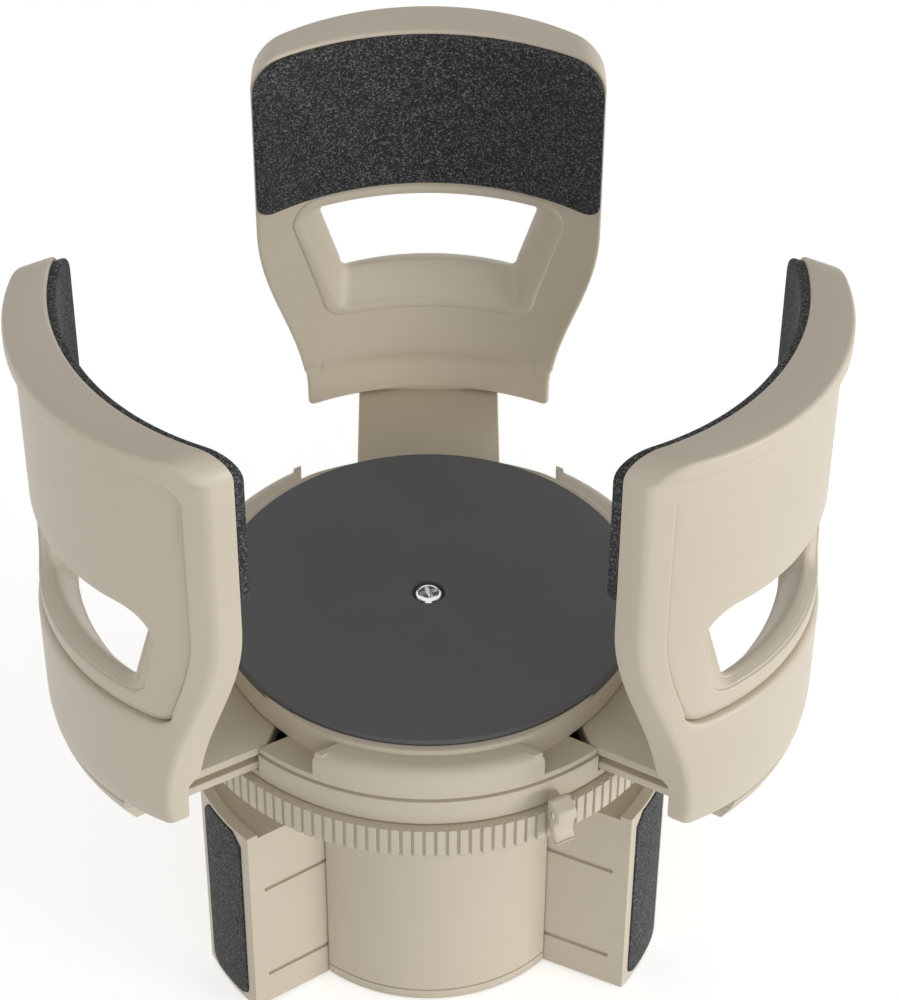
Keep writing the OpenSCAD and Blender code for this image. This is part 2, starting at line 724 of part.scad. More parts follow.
// Arm that points along +Y
module arm() {
    color(BEIGE) difference() {
        union() {
            intersection() {
                difference() {
                    arm_outer(body_r, true);
                    arm_inner(0);
                }
                through_y(outer_c, arm_reach + 2) arm_outline();
            }
            arm_rail();
            window_frame();
        }
        for (s = [-1, 1]) rail_groove(s);
        intersection() {
            through_y(outer_c, arm_reach + 2) panel_outline(seat_gap);
            translate([0, outer_c, 0]) difference() {
                cylinder(r = arm_outer_r + 2, h = rim_z);
                cylinder(r = panel_r - cover_t, h = rim_z);
            }
        }
        window_cut();
        translate([0, arm_pin_v, rail_z - over])
            cylinder(r = pin_r + press_gap, h = over + rail_h - pin_roof, $fn = 32);
    }
}

// Outer cover set into an arm's face
module arm_cover() {
    color(BEIGE) difference() {
        intersection() {
            through_y(outer_c, arm_reach + 2) panel_outline(0);
            translate([0, outer_c, 0]) tube_between(panel_r - cover_t, panel_r, rim_z);
        }
        window_cut();
    }
}

module tube_between(r0, r1, h) {
    difference() {
        cylinder(r = r1, h = h);
        translate([0, 0, -over]) cylinder(r = r0, h = h + 2 * over);
    }
}

// Grip liner on the arm's inner face, above the window
module arm_liner() {
    half = arm_w / 2 - 0.4;
    low = win_top + 3.5;
    high = rim_z - 0.8;
    corner = 4;
    side = concat(
        arc(corner, 270, 360, 4, [half - corner, low + corner]),
        arc(arm_corner, 0, 90, corner_steps, [half - arm_corner, high - arm_corner]));
    color(PAD) intersection() {
        through_y(inner_c, arm_reach) polygon(concat(side, mirrored(side)));
        translate([0, inner_c, 0]) tube_between(arm_inner_r - liner_t, arm_inner_r, rim_z);
    }
}

// Steel pin under a rail that runs in the scroll plate's slot
module arm_pin() {
    color(STEEL) translate([0, arm_pin_v, scroll_z + 0.2])
        cylinder(r = pin_r, h = rail_z - scroll_z - 0.2 + rail_h - pin_roof, $fn = 32);
}

// Lock lever: an S-shaped rocker whose nose drops into the ring's grooves
module lock_lever() {
    nose_z = ring_z + ring_h / 2;
    nose_r = ring_r + nose_gap;
    back_r = nose_r + 1.4;
    nose_w = rib_gap - 2 * nose_side;
    tip_r = 1.1;
    hollow_r = 4;
    slot_w = ear_t + 2 * ear_gap;
    slot_h = 2 * (ear_r + 2 * ear_gap);
    color(BEIGE) facing(lever_angle) difference() {
        union() {
            translate([-lever_w / 2, 0, 0]) rotate([90, 0, 90]) linear_extrude(lever_w) polygon(concat(
                [[back_r, nose_z + 2.6], [back_r, nose_z - 2]],
                arc(tip_r, 215, 355, 5, [lever_r + 1.2, nose_z - 1.4]),
                arc(hollow_r, 225, 132, 6, [lever_r + 0.8 + hollow_r, nose_z + 1.6]),
                arc(2.5, -20, 50, 4, [lever_r, lever_z]),
                arc(tip_r, 30, 160, 5, [lever_r - 1, lever_z + 2.9]),
                [[lever_r - 2.2, lever_z + 0.8]]));
            translate([-nose_w / 2, nose_r, nose_z - 1.7]) cube([nose_w, 2, 2.4]);
        }
        translate([-slot_w / 2, skirt_r, lever_z - slot_h / 2]) cube([slot_w, lever_r, slot_h]);
        lever_axis() cylinder(r = lever_pin_r + fit, h = lever_w + 2 * over, center = true, $fn = 24);
    }
}

module lever_pin() {
    color(STEEL) facing(lever_angle) lever_axis() cylinder(r = lever_pin_r, h = lever_w - 0.2, center = true, $fn = 24);
}

base_tube();
bottom_cap();
bottom_screws();
fin_ways(BACK) fin();  // fin_back
fin_ways(LEFT) fin();  // fin_left
fin_ways(RIGHT) fin();  // fin_right
fin_ways(BACK) fin_pad();  // fin_pad_back
fin_ways(LEFT) fin_pad();  // fin_pad_left
fin_ways(RIGHT) fin_pad();  // fin_pad_right
fin_ways(BACK) fin_pin();  // fin_pin_back
fin_ways(LEFT) fin_pin();  // fin_pin_left
fin_ways(RIGHT) fin_pin();  // fin_pin_right
twist_ring();
lower_housing();
scroll_plate();
deck_shell();
deck_mat();
centre_screw();
screw_washer();
lock_lever();
lever_pin();
facing(BACK) arm();  // arm_back
facing(LEFT) arm();  // arm_left
facing(RIGHT) arm();  // arm_right
facing(BACK) arm_cover();  // arm_cover_back
facing(LEFT) arm_cover();  // arm_cover_left
facing(RIGHT) arm_cover();  // arm_cover_right
facing(BACK) arm_liner();  // arm_liner_back
facing(LEFT) arm_liner();  // arm_liner_left
facing(RIGHT) arm_liner();  // arm_liner_right
facing(BACK) arm_pin();  // arm_pin_back
facing(LEFT) arm_pin();  // arm_pin_left
facing(RIGHT) arm_pin();  // arm_pin_right
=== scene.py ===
"""Dresses the cup-holder expander: moulded arms with covers and liners, the lock lever, and every finish."""

import math
from collections import namedtuple

import bmesh
import bpy
import numpy as np
from mathutils import Matrix, Vector


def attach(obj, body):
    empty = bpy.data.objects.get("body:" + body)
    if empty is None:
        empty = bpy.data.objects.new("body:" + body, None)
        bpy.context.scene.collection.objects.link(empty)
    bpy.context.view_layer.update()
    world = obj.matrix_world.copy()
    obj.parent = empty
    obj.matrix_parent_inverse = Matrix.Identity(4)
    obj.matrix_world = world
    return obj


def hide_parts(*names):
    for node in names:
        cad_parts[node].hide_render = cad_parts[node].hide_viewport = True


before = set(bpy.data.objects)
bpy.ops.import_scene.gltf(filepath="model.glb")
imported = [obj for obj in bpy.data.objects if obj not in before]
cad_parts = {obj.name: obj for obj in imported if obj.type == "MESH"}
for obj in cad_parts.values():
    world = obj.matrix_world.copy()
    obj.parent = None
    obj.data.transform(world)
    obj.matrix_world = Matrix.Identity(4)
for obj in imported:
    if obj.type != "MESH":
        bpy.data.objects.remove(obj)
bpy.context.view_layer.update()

MM = 0.001
SIDES = {"back": 90, "left": 210, "right": 330}

# Points nearer than this are merged and edges shorter than this dissolved, in metres, and edges that turn
# by more than this angle stay sharp
MERGE, SLIVER = 2e-6, 1e-6
SHARP = 38

# Heights of the arms, in millimetres, as in the part
ARM_Z = 84.6
RAIL_Z = 78.0
RAIL_TOP = 84.0
RIM_Z = 182.3

# Plan arcs of an arm, as the place of a centre and a radius from it: outer face, inner face, cover
OUTER_C, BODY_R = 35.5, 48.5
INNER_C, INNER_R = 19.3, 55.7
PANEL_R = 47.8

# How thick a cover and a liner are, how far a cover's back stands clear of the arm, and how thick the wall is
# from a cover's face to the inner face
COVER_T, LINER_T = 2.0, 1.8
COVER_CLEAR = 0.02
WALL = OUTER_C + PANEL_R - INNER_C - INNER_R

# Share of the way out through the wall at which the back of a cover lies
BACK_SHARE = 1 - COVER_T / WALL

# Lip of the outer face under the rim: how far it stands out, where it starts, over what height it rises
LIP, LIP_Z, LIP_RISE = 1.0, 177.2, 1.6

# Relief low on the inner face: its depth, its upper end, and the height over which it fades
RELIEF, RELIEF_Z, RELIEF_FADE = 2.3, 93.5, 4.0

# Foot of the outer face, which turns inward below a height on a round of this radius
FOOT_ROUND, FOOT_Z = 22.0, 90.0

# Face-on outline of an arm: half widths at foot and top, the heights between which it swells, corner radii
FOOT_W, ARM_W = 27.5, 37.0
SWELL_LOW, SWELL_HIGH = 88.9, 139.9
ARM_LOW_R, ARM_HIGH_R = 1.6, 6.0

# Rounded edges of an arm: their radii at foot, sides and top, and how wide a strip they take
OUTER_EDGE, INNER_EDGE = (1.0, 0.9, 0.9), (0.8, 1.0, 0.8)
EDGE = 1.0

# Panel in the outer face: how far inside the arm's sides it lies, its lower and upper edge, corner radii
PANEL_IN, PANEL_LOW, PANEL_TOP = 4.0, 113.0, 176.0
PANEL_LOW_R, PANEL_HIGH_R = 5.0, 4.5

# Seam round a cover: how far it reaches out into the arm and in into the cover
SEAM_OUT, SEAM_IN = 0.14, 0.1

# Ledge under a cover, where both turn inward: its height, and the height up to which it is full
LEDGE, LEDGE_FULL = 6.0, 0.6

# Edge of an arm's recess for the cover: its radius, the ledge's radius, and the share of that that it falls
RECESS_R, LEDGE_R, LEDGE_FALL = 0.45, 1.9, 0.5

# Rings round that recess: how far outside the panel's sides and top, and how far below its lower edge
RECESS_RINGS = ((1.3, 5.0), (0.9, 3.2), (0.7, 2.2), (0.55, 1.4), (0.4, 0.7), (0.25, 0.3),
                (SEAM_OUT, SEAM_OUT))

# Window through an arm: half widths at its top and foot, the heights of foot and top, and the
# radii of their corners, from the inner face, past the narrowest place at a share of the way out,
# to the outer face
WAIST = 0.54
WINDOW_IN = (28.4, 19.6, 112.6, 141.1, 3.4, 3.2)
WINDOW_WAIST = (24.6, 18.8, 120.1, 140.8, 3.2, 3.6)
WINDOW_OUT = (27.3, 23.0, 118.8, 141.2, 4.2, 6.5)

# Powers by which the window widens from its narrowest place, inward and outward
FLARE_IN, FLARE_OUT = 1.5, 1.8

# Raised frame round the window on the inner face: how far outside the window each ring lies, and how proud
FRAME_RINGS = ((0, 0.1), (0.15, 0.35), (0.4, 0.5), (0.8, 0.6), (1.8, 0.6), (2.1, 0.5), (2.4, 0.2), (2.6, 0))

# Rounded edge of a cover at its window: how far outside the window each ring lies, and how far it falls
COVER_WINDOW_RINGS = ((0, 0.6), (0.08, 0.34), (0.25, 0.14), (0.5, 0.03), (0.8, 0))

# Outer edge of a cover: how far each ring lies outside the panel's sides and top, and below its lower edge
# (less than none is inside), how far it falls, and how far its lower edge turns inward
COVER_EDGE_RINGS = ((-0.9, -3.4, 0, 0), (-0.8, -2.7, 0, 0.06), (-0.7, -2.1, 0, 0.2), (-0.6, -1.5, 0, 0.4),
                    (-0.5, -0.9, 0, 0.62), (-0.35, -0.45, 0.03, 0.8), (-0.2, -0.2, 0.13, 0.9),
                    (-SEAM_IN, -SEAM_IN, 0.4, 1.0))

# Liner on the inner face: its half width, lower and upper edge, corner radii, and the radius of its edge
LINER_HALF, LINER_LOW, LINER_HIGH = ARM_W - 0.4, 144.6, RIM_Z - 0.8
LINER_LOW_R, LINER_HIGH_R = 4.0, 6.0
LINER_EDGE = 0.8

# Slide rail: half widths of rail and nose, where it starts, and how its lower, middle and top edges are cut
RAIL_HALF, RAIL_NOSE, RAIL_IN = 16.0, 6.0, 37.5
RAIL_EDGE, RAIL_BEVEL, RAIL_TOP_EDGE = 0.5, 0.15, 0.4

# Neck that joins the rail's top to the arm: where it starts and how far it reaches up into the arm
NECK_IN, NECK_RISE = 77.4, 0.3

# Grooves in the rail's sides: lower and upper edge, depth, where they end, and how long that end curves
GROOVE_LOW, GROOVE_TOP, GROOVE_IN, GROOVE_END = 80.2, 82.0, 1.8, 76.6
GROOVE_CURVE = 1.4

# How many points each stretch of a half outline has: foot, low corner, side, high corner, rim
STRETCHES = (14, 7, 34, 9, 18)

# Shares of the way at which rings lie between two outlines that stand apart
PART_WAY = (0.15, 0.3, 0.45, 0.6, 0.75, 0.9)
WHOLE_WAY = (0.25, 0.5, 0.75, 1)

# Lock lever: the angle at which it stands, its pivot's radius and height, and its two sides
LEVER_ANGLE = 299
LEVER_R, LEVER_Z = 57.2, 77.6
LEVER_SIDES = (-1.6, 2.95)

# Side outline of the lever, in radius and height: the arcs of its toe, hollow, knuckle and head, each with
# a radius, two angles, a number of steps and a centre
TOE = (1.1, 240, 355, 7, (58.4, 71.2))
HOLLOW = (4.0, 225, 132, 12, (62.0, 73.9))
KNUCKLE = (2.5, -20, 50, 8, (LEVER_R, LEVER_Z))
HEAD = (1.1, 30, 160, 8, (56.2, 79.7))

# The rest of that outline, down its inner side: its radius at the pocket's upper edge, two points beside
# the pocket, its radius at the pocket's lower edge, and the flat face that follows
INNER_TOP_R, INNER_LOW_R = 55.1, 55.7
INNER_BEND = [(55.0, 78.4), (55.35, 77.05)]
INNER_FLAT = [(56.05, 74.6), (56.05, 70.0)]

# Pocket in the lever for its ear: half width, half height, and how far out it reaches
POCKET_HALF, POCKET_H, POCKET_R = 0.95, 1.9, 58.9

# Rounded sides of the lever: how far in from a side each ring lies, and how far its outline is drawn in
LEVER_EDGE = ((0, 0.42), (0.05, 0.22), (0.18, 0.07), (0.42, 0.0))

# Thin nose of the lever: half thickness, where it starts, length, and its lower and upper edge
NOSE_HALF, NOSE_R, NOSE_LENGTH = 0.15, 54.65, 2.0
NOSE_LOW, NOSE_TOP = 70.2, 72.6

# Lever's pin: how far it stands out at each side, how many points it has, and how its ends are rounded, as
# steps from the end and radii
PIN_OUT, PIN_POINTS = 0.15, 24
PIN_END = ((0, 0.6), (0.1, 0.75), (0.25, 0.8))

Outline = namedtuple("Outline", "half low high low_r high_r")


def smooth(t):
    t = np.clip(t, 0, 1)
    return t * t * (3 - 2 * t)


def half_loop(half, low, high, low_r, high_r):
    """Right half of a rounded outline, from the middle of its foot round to the middle of its top."""
    foot, corner, side, shoulder, top = STRETCHES
    low_x = half(low + low_r) - low_r
    high_x = half(high - high_r) - high_r
    pts = [(low_x * i / foot, low) for i in range(foot)]
    for i in range(corner):
        a = math.radians(-90 + 90 * i / corner)
        pts.append((low_x + low_r * math.cos(a), low + low_r + low_r * math.sin(a)))
    for i in range(side):
        z = low + low_r + (high - high_r - low - low_r) * i / side
        pts.append((float(half(z)), z))
    for i in range(shoulder):
        a = math.radians(90 * i / shoulder)
        pts.append((high_x + high_r * math.cos(a), high - high_r + high_r * math.sin(a)))
    pts += [(high_x * (1 - i / top), high) for i in range(top + 1)]
    return np.array(pts)


def loop(outline):
    """Points round a whole outline, across and up."""
    right = half_loop(*outline)
    left = right[-2:0:-1] * [-1, 1]
    return np.vstack([right, left])


def blend(a, b, share):
    """The outline a share of the way from a to b; its sides follow the sides of both."""
    def half(z):
        return a.half(z) + (b.half(z) - a.half(z)) * share

    return Outline(half, *(p + (q - p) * share for p, q in zip(a[1:], b[1:])))


def morph(a, b, shares):
    return [loop(blend(a, b, share)) for share in shares]


def per_stretch(foot, side, top):
    """One value per point of a loop, blended round the corners."""
    n_foot, n_low, n_side, n_high, n_top = STRETCHES
    right = np.concatenate([
        np.full(n_foot, foot), np.linspace(foot, side, n_low, endpoint=False), np.full(n_side, side),
        np.linspace(side, top, n_high, endpoint=False), np.full(n_top + 1, top)])
    return np.concatenate([right, right[-2:0:-1]])


def arm_half(z):
    t = np.clip((np.asarray(z) - SWELL_LOW) / (SWELL_HIGH - SWELL_LOW), 0, 1)
    return FOOT_W + (ARM_W - FOOT_W) * (1 - np.cos(math.pi * t)) / 2


def arm_outline(drop):
    """Outline of an arm, drawn in all round."""
    return Outline(lambda z: arm_half(z) - drop, ARM_Z + drop, RIM_Z - drop,
                   ARM_LOW_R - drop, ARM_HIGH_R - drop)


def panel_outline(grow, below=None):
    """Outline of the panel, grown all round or by another measure at its lower edge."""
    drop = grow if below is None else below
    return Outline(lambda z: arm_half(z) - PANEL_IN + grow, PANEL_LOW - drop, PANEL_TOP + grow,
                   PANEL_LOW_R + grow, PANEL_HIGH_R + grow)


def window_outline(f, grow=0):
    """Outline of the window at a share f of the way out through the arm, grown all round."""
    if f > WAIST:
        far, share = WINDOW_OUT, ((f - WAIST) / (1 - WAIST)) ** FLARE_OUT
    else:
        far, share = WINDOW_IN, ((WAIST - f) / WAIST) ** FLARE_IN
    top, low, z_low, z_top, foot_r, top_r = (w + (v - w) * share for w, v in zip(WINDOW_WAIST, far))
    top, low, z_low, z_top = top + grow, low + grow, z_low - grow, z_top + grow
    return Outline(lambda z: low + (top - low) * (z - z_low) / (z_top - z_low), z_low, z_top,
                   foot_r + grow, top_r + grow)


def liner_outline(drop):
    """Outline of a liner, drawn in all round."""
    return Outline(lambda z: LINER_HALF - drop, LINER_LOW + drop, LINER_HIGH - drop,
                   LINER_LOW_R - drop, LINER_HIGH_R - drop)


def low_share(z):
    """One at the panel's lower edge, none from the ledge's height above it."""
    return smooth((PANEL_LOW + LEDGE - z) / (LEDGE - LEDGE_FULL))


def outer_y(u, z, r):
    """How far out the outer face of radius r lies, at a place across and a height."""
    below = np.maximum(FOOT_Z - z, 0)
    return OUTER_C + np.sqrt((r - FOOT_ROUND + np.sqrt(FOOT_ROUND ** 2 - below ** 2)) ** 2 - u ** 2)


def inner_y(u, z, r):
    """How far out the inner face of radius r lies."""
    relief = RELIEF * smooth((RELIEF_Z + RELIEF_FADE - z) / RELIEF_FADE)
    return INNER_C + np.sqrt((r + relief) ** 2 - u ** 2)


def ring(uz, y):
    return np.column_stack([uz[:, 0], y, uz[:, 1]])


def outer_ring(uz, r, back=0):
    """A loop laid on the outer face of radius r, or some way behind it."""
    return ring(uz, outer_y(uz[:, 0], uz[:, 1], r) - back)


def inner_ring(uz, r=INNER_R, out=0):
    """A loop laid on the inner face of radius r, or some way outward of it."""
    return ring(uz, inner_y(uz[:, 0], uz[:, 1], r) + out)


def between(a, b, shares):
    return [a + (b - a) * s for s in shares]


def rounding(r, d):
    """How far a rounded edge of radius r falls back at a distance d from it."""
    return r - np.sqrt(np.maximum(r ** 2 - np.clip(r - d, 0, None) ** 2, 0))


def solid(name, rings, closed=True):
    """A mesh from a stack of rings in millimetres; closed also joins the last ring to the first."""
    n = len(rings[0])
    verts = np.vstack(rings) * MM
    spans = len(rings) if closed else len(rings) - 1
    faces = []
    for k in range(spans):
        a, b = k * n, ((k + 1) % len(rings)) * n
        faces += [(a + i, a + (i + 1) % n, b + (i + 1) % n, b + i) for i in range(n)]
    mesh = bpy.data.meshes.new(name)
    mesh.from_pydata([tuple(v) for v in verts], [], faces)
    return mesh


def capped(mesh, n):
    """The same mesh with both open ends of its stack of rings of n points closed."""
    work = bmesh.new()
    work.from_mesh(mesh)
    work.verts.ensure_lookup_table()
    work.faces.new([work.verts[i] for i in range(n)])
    work.faces.new([work.verts[len(work.verts) - n + i] for i in range(n)])
    work.to_mesh(mesh)
    work.free()
    return mesh


def stack(name, rings):
    """A solid mesh from a stack of rings, with flat ends."""
    return capped(solid(name, rings, closed=False), len(rings[0]))


def welded(mesh):
    """The same mesh with points that meet merged and its faces turned outward."""
    work = bmesh.new()
    work.from_mesh(mesh)
    bmesh.ops.remove_doubles(work, verts=work.verts, dist=MERGE)
    bmesh.ops.dissolve_degenerate(work, dist=SLIVER, edges=work.edges)
    bmesh.ops.recalc_face_normals(work, faces=work.faces)
    if work.calc_volume(signed=True) < 0:
        bmesh.ops.reverse_faces(work, faces=work.faces)
    work.to_mesh(mesh)
    work.free()
    return mesh


def place(name, meshes, angle, body, material, slot, *nodes):
    """One object from some meshes that point along +Y, turned to an angle and set on a body."""
    work = bmesh.new()
    for mesh in meshes:
        work.from_mesh(welded(mesh))
    merged = bpy.data.meshes.new(name)
    work.to_mesh(merged)
    work.free()
    merged.transform(Matrix.Rotation(math.radians(angle - 90), 4, "Z"))
    merged.polygons.foreach_set("use_smooth", [True] * len(merged.polygons))
    merged.set_sharp_from_angle(angle=math.radians(SHARP))
    obj = bpy.data.objects.new(name, merged)
    bpy.context.scene.collection.objects.link(obj)
    obj.data.materials.append(material)
    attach(obj, body)
    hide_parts(*nodes)


def face_rings():
    """Outer edge of an arm and its face, as far as the recess for the cover."""
    def lipped_r(uz):
        return BODY_R + LIP * smooth((uz[:, 1] - LIP_Z) / LIP_RISE)

    radii = per_stretch(*OUTER_EDGE)
    rings = []
    for drop in (0, 0.03, 0.1, 0.22, 0.4, 0.65, EDGE):
        uz = loop(arm_outline(drop))
        rings.append(outer_ring(uz, lipped_r(uz), rounding(radii, drop)))
    for uz in morph(arm_outline(EDGE), panel_outline(*RECESS_RINGS[0]), PART_WAY):
        rings.append(outer_ring(uz, lipped_r(uz)))
    return rings


def recess_rings():
    """Recess that takes the cover: its rounded edge, the ledge under it, its wall and its floor."""
    rings = []
    for grow, below in RECESS_RINGS:
        uz = loop(panel_outline(grow, below))
        ledge = low_share(uz[:, 1])
        edge_fall = rounding(RECESS_R, grow - SEAM_OUT)
        ledge_fall = rounding(LEDGE_R, below - SEAM_OUT) * LEDGE_FALL
        rings.append(outer_ring(uz, BODY_R, edge_fall * (1 - ledge) + ledge_fall * ledge))
    floor_r = PANEL_R - COVER_T
    rings.append(outer_ring(loop(panel_outline(SEAM_OUT)), floor_r))
    for uz in morph(panel_outline(SEAM_OUT), window_outline(BACK_SHARE), WHOLE_WAY):
        rings.append(outer_ring(uz, floor_r))
    return rings


def window_rings():
    """Wall of the window behind the cover, from the recess in to the inner face."""
    rings = []
    for f in (0.7, 0.64, 0.59, WAIST, 0.5, 0.45, 0.38, 0.3, 0.21, 0.12, 0.05):
        uz = loop(window_outline(f))
        y_in, y_out = inner_y(uz[:, 0], uz[:, 1], INNER_R), outer_y(uz[:, 0], uz[:, 1], PANEL_R)
        rings.append(ring(uz, y_in + (y_out - y_in) * f))
    return rings


def inside_rings():
    """Raised frame of the window, the inner face, and its rounded edge."""
    rings = [inner_ring(loop(window_outline(0, grow)), out=-proud) for grow, proud in FRAME_RINGS]
    frame_out = FRAME_RINGS[-1][0]
    shares = (0.08, 0.2, 0.35, 0.5, 0.6, 0.68, 0.76, 0.84, 0.92, 1)
    rings += [inner_ring(uz) for uz in morph(window_outline(0, frame_out), arm_outline(EDGE), shares)]
    radii = per_stretch(*INNER_EDGE)
    for drop in (0.6, 0.3, 0.1, 0):
        rings.append(inner_ring(loop(arm_outline(drop)), out=rounding(radii, drop)))
    return rings


def arm_mesh():
    return solid("arm", face_rings() + recess_rings() + window_rings() + inside_rings())


def rail_ring(z, drop=0.0, groove=0.0, start=RAIL_IN):
    """Plan outline of the slide rail at a height, drawn in at its edges or at its side grooves."""
    side_steps, curve_steps, front_steps = 6, 4, 8
    half = RAIL_HALF - drop
    shoulder = max(RAIL_IN + RAIL_HALF - RAIL_NOSE, start)
    nose = RAIL_NOSE if start == RAIL_IN else half
    curve_start = GROOVE_END - GROOVE_CURVE
    right = [(0, start + drop), (nose, start + drop)]
    for v in np.linspace(shoulder + drop, curve_start, side_steps):
        right.append((half - groove, max(v, start + drop)))
    for i in range(1, curve_steps + 1):
        a = math.radians(90 * i / curve_steps)
        v = curve_start + GROOVE_CURVE * math.sin(a)
        right.append((half - groove * math.cos(a), max(v, start + drop)))
    for i in range(front_steps + 1):
        u = half * (1 - i / front_steps)
        right.append((u, float(outer_y(np.array(u), z, BODY_R - drop))))
    left = [(-u, v) for u, v in right[-2:0:-1]]
    return np.array([(u, v, z) for u, v in right + left])


def rail_mesh():
    """Slide rail with rounded edges and a groove in each side, and the neck that joins it to the arm."""
    edge, bevel, top_edge = RAIL_EDGE, RAIL_BEVEL, RAIL_TOP_EDGE
    rings = [rail_ring(RAIL_Z, edge), rail_ring(RAIL_Z + bevel, bevel), rail_ring(RAIL_Z + edge),
             rail_ring(GROOVE_LOW - bevel), rail_ring(GROOVE_LOW, bevel), rail_ring(GROOVE_LOW, 0, GROOVE_IN),
             rail_ring(GROOVE_TOP, 0, GROOVE_IN), rail_ring(GROOVE_TOP, bevel), rail_ring(GROOVE_TOP + bevel),
             rail_ring(RAIL_TOP - top_edge), rail_ring(RAIL_TOP - 0.1, bevel), rail_ring(RAIL_TOP, top_edge)]
    rings += [rail_ring(z, top_edge, start=NECK_IN) for z in (RAIL_TOP, ARM_Z + NECK_RISE)]
    return stack("rail", rings)


def cover_mesh():
    """Panel with a rounded edge at its window and a lower edge that turns inward to its seam."""
    rings = [outer_ring(loop(window_outline(1, grow)), PANEL_R - fall) for grow, fall in COVER_WINDOW_RINGS]
    window_edge = window_outline(1, COVER_WINDOW_RINGS[-1][0])
    panel_edge = panel_outline(*COVER_EDGE_RINGS[0][:2])
    rings += [outer_ring(uz, PANEL_R) for uz in morph(window_edge, panel_edge, PART_WAY)]
    for grow, below, fall, turned in COVER_EDGE_RINGS:
        uz = loop(panel_outline(grow, below))
        low = low_share(uz[:, 1])
        rings.append(outer_ring(uz, PANEL_R - fall * (1 - low) - turned * low))
    back_r = PANEL_R - COVER_T + COVER_CLEAR
    rings.append(outer_ring(loop(panel_outline(-SEAM_IN)), back_r))
    for uz in morph(panel_outline(-SEAM_IN), window_outline(BACK_SHARE), WHOLE_WAY):
        rings.append(outer_ring(uz, back_r))
    for f in (0.84, 0.92):
        rings.append(outer_ring(loop(window_outline(f)), PANEL_R - (1 - f) * WALL))
    return solid("cover", rings)


def liner_mesh():
    """Liner with a rounded front edge; its front and back close toward their middle points."""
    front, back = loop(liner_outline(LINER_EDGE)), loop(liner_outline(0))
    middle = front * 0 + [0, (LINER_LOW + LINER_HIGH) / 2]
    front_r = INNER_R - LINER_T
    shares = np.linspace(0, 1, 16)
    rings = [inner_ring(uz, front_r) for uz in between(middle, front, shares)]
    for drop in (0.5, 0.25, 0.08, 0):
        rings.append(inner_ring(loop(liner_outline(drop)), front_r, rounding(LINER_EDGE, drop)))
    rings += [inner_ring(uz) for uz in between(back, middle, shares)]
    return solid("liner", rings, closed=False)


def arc(r, start, end, n, centre):
    """Points of an arc between two angles, in n steps."""
    angles = np.radians(np.linspace(start, end, n + 1))
    return [(centre[0] + r * math.cos(a), centre[1] + r * math.sin(a)) for a in angles]


def drawn_in(points, inset):
    """A closed outline moved inward by a small distance."""
    along = np.roll(points, -1, axis=0) - np.roll(points, 1, axis=0)
    along /= np.linalg.norm(along, axis=1)[:, None]
    return points + np.column_stack([-along[:, 1], along[:, 0]]) * inset


def lever_ring(u, inset=0.0, pocket=False):
    """Side outline of the S-shaped lever, counter-clockwise in radius and height."""
    top, low = LEVER_Z + POCKET_H, LEVER_Z - POCKET_H
    inner = [(POCKET_R, top), (POCKET_R, low)] if pocket else INNER_BEND
    outline = (INNER_FLAT + arc(*TOE) + arc(*HOLLOW) + arc(*KNUCKLE) + arc(*HEAD)
               + [(INNER_TOP_R, top)] + inner + [(INNER_LOW_R, low)])
    outline = drawn_in(np.array(outline), inset)
    return np.column_stack([np.full(len(outline), u), outline])


def lever_mesh():
    left, right = LEVER_SIDES
    rings = [lever_ring(left + step, inset) for step, inset in LEVER_EDGE]
    rings += [lever_ring(-POCKET_HALF), lever_ring(-POCKET_HALF, pocket=True)]
    rings += [lever_ring(POCKET_HALF, pocket=True), lever_ring(POCKET_HALF)]
    rings += [lever_ring(right - step, inset) for step, inset in reversed(LEVER_EDGE)]
    return stack("lever", rings)


def nose_mesh():
    """Thin upright plate of the lever that drops into a groove of the ring."""
    inner, outer = NOSE_R, NOSE_R + NOSE_LENGTH
    corners = [(-NOSE_HALF, inner), (NOSE_HALF, inner), (NOSE_HALF, outer), (-NOSE_HALF, outer)]
    return stack("nose", [np.array([(u, v, z) for u, v in corners]) for z in (NOSE_LOW, NOSE_TOP)])


def pin_mesh():
    left, right = LEVER_SIDES[0] - PIN_OUT, LEVER_SIDES[1] + PIN_OUT
    ends = [(left + step, r) for step, r in PIN_END] + [(right - step, r) for step, r in reversed(PIN_END)]
    last = 360 - 360 / PIN_POINTS
    rings = []
    for u, r in ends:
        round_loop = np.array(arc(r, 0, last, PIN_POINTS - 1, (LEVER_R, LEVER_Z)))
        rings.append(np.column_stack([np.full(PIN_POINTS, u), round_loop]))
    return stack("pin", rings)


def node(tree, kind, **values):
    """A shader node with some of its inputs or settings given."""
    made = tree.nodes.new(kind)
    for key, value in values.items():
        if key in made.inputs:
            made.inputs[key].default_value = value
        else:
            setattr(made, key, value)
    return made


def material(name, colour, roughness, metallic=0.0, specular=0.5):
    made = bpy.data.materials.new(name)
    made.use_nodes = True
    tree = made.node_tree
    shader = tree.nodes["Principled BSDF"]
    shader.inputs["Base Color"].default_value = (*colour, 1)
    shader.inputs["Roughness"].default_value = roughness
    shader.inputs["Metallic"].default_value = metallic
    shader.inputs["Specular IOR Level"].default_value = specular
    return made, tree, shader


def texture(tree, kind, **values):
    """A texture node laid out in the object's own coordinates."""
    where = tree.nodes.new("ShaderNodeTexCoord")
    made = node(tree, kind, **values)
    tree.links.new(where.outputs["Object"], made.inputs["Vector"])
    return made


def tinted(colour, factor):
    return tuple(min(c * factor, 1) for c in colour)


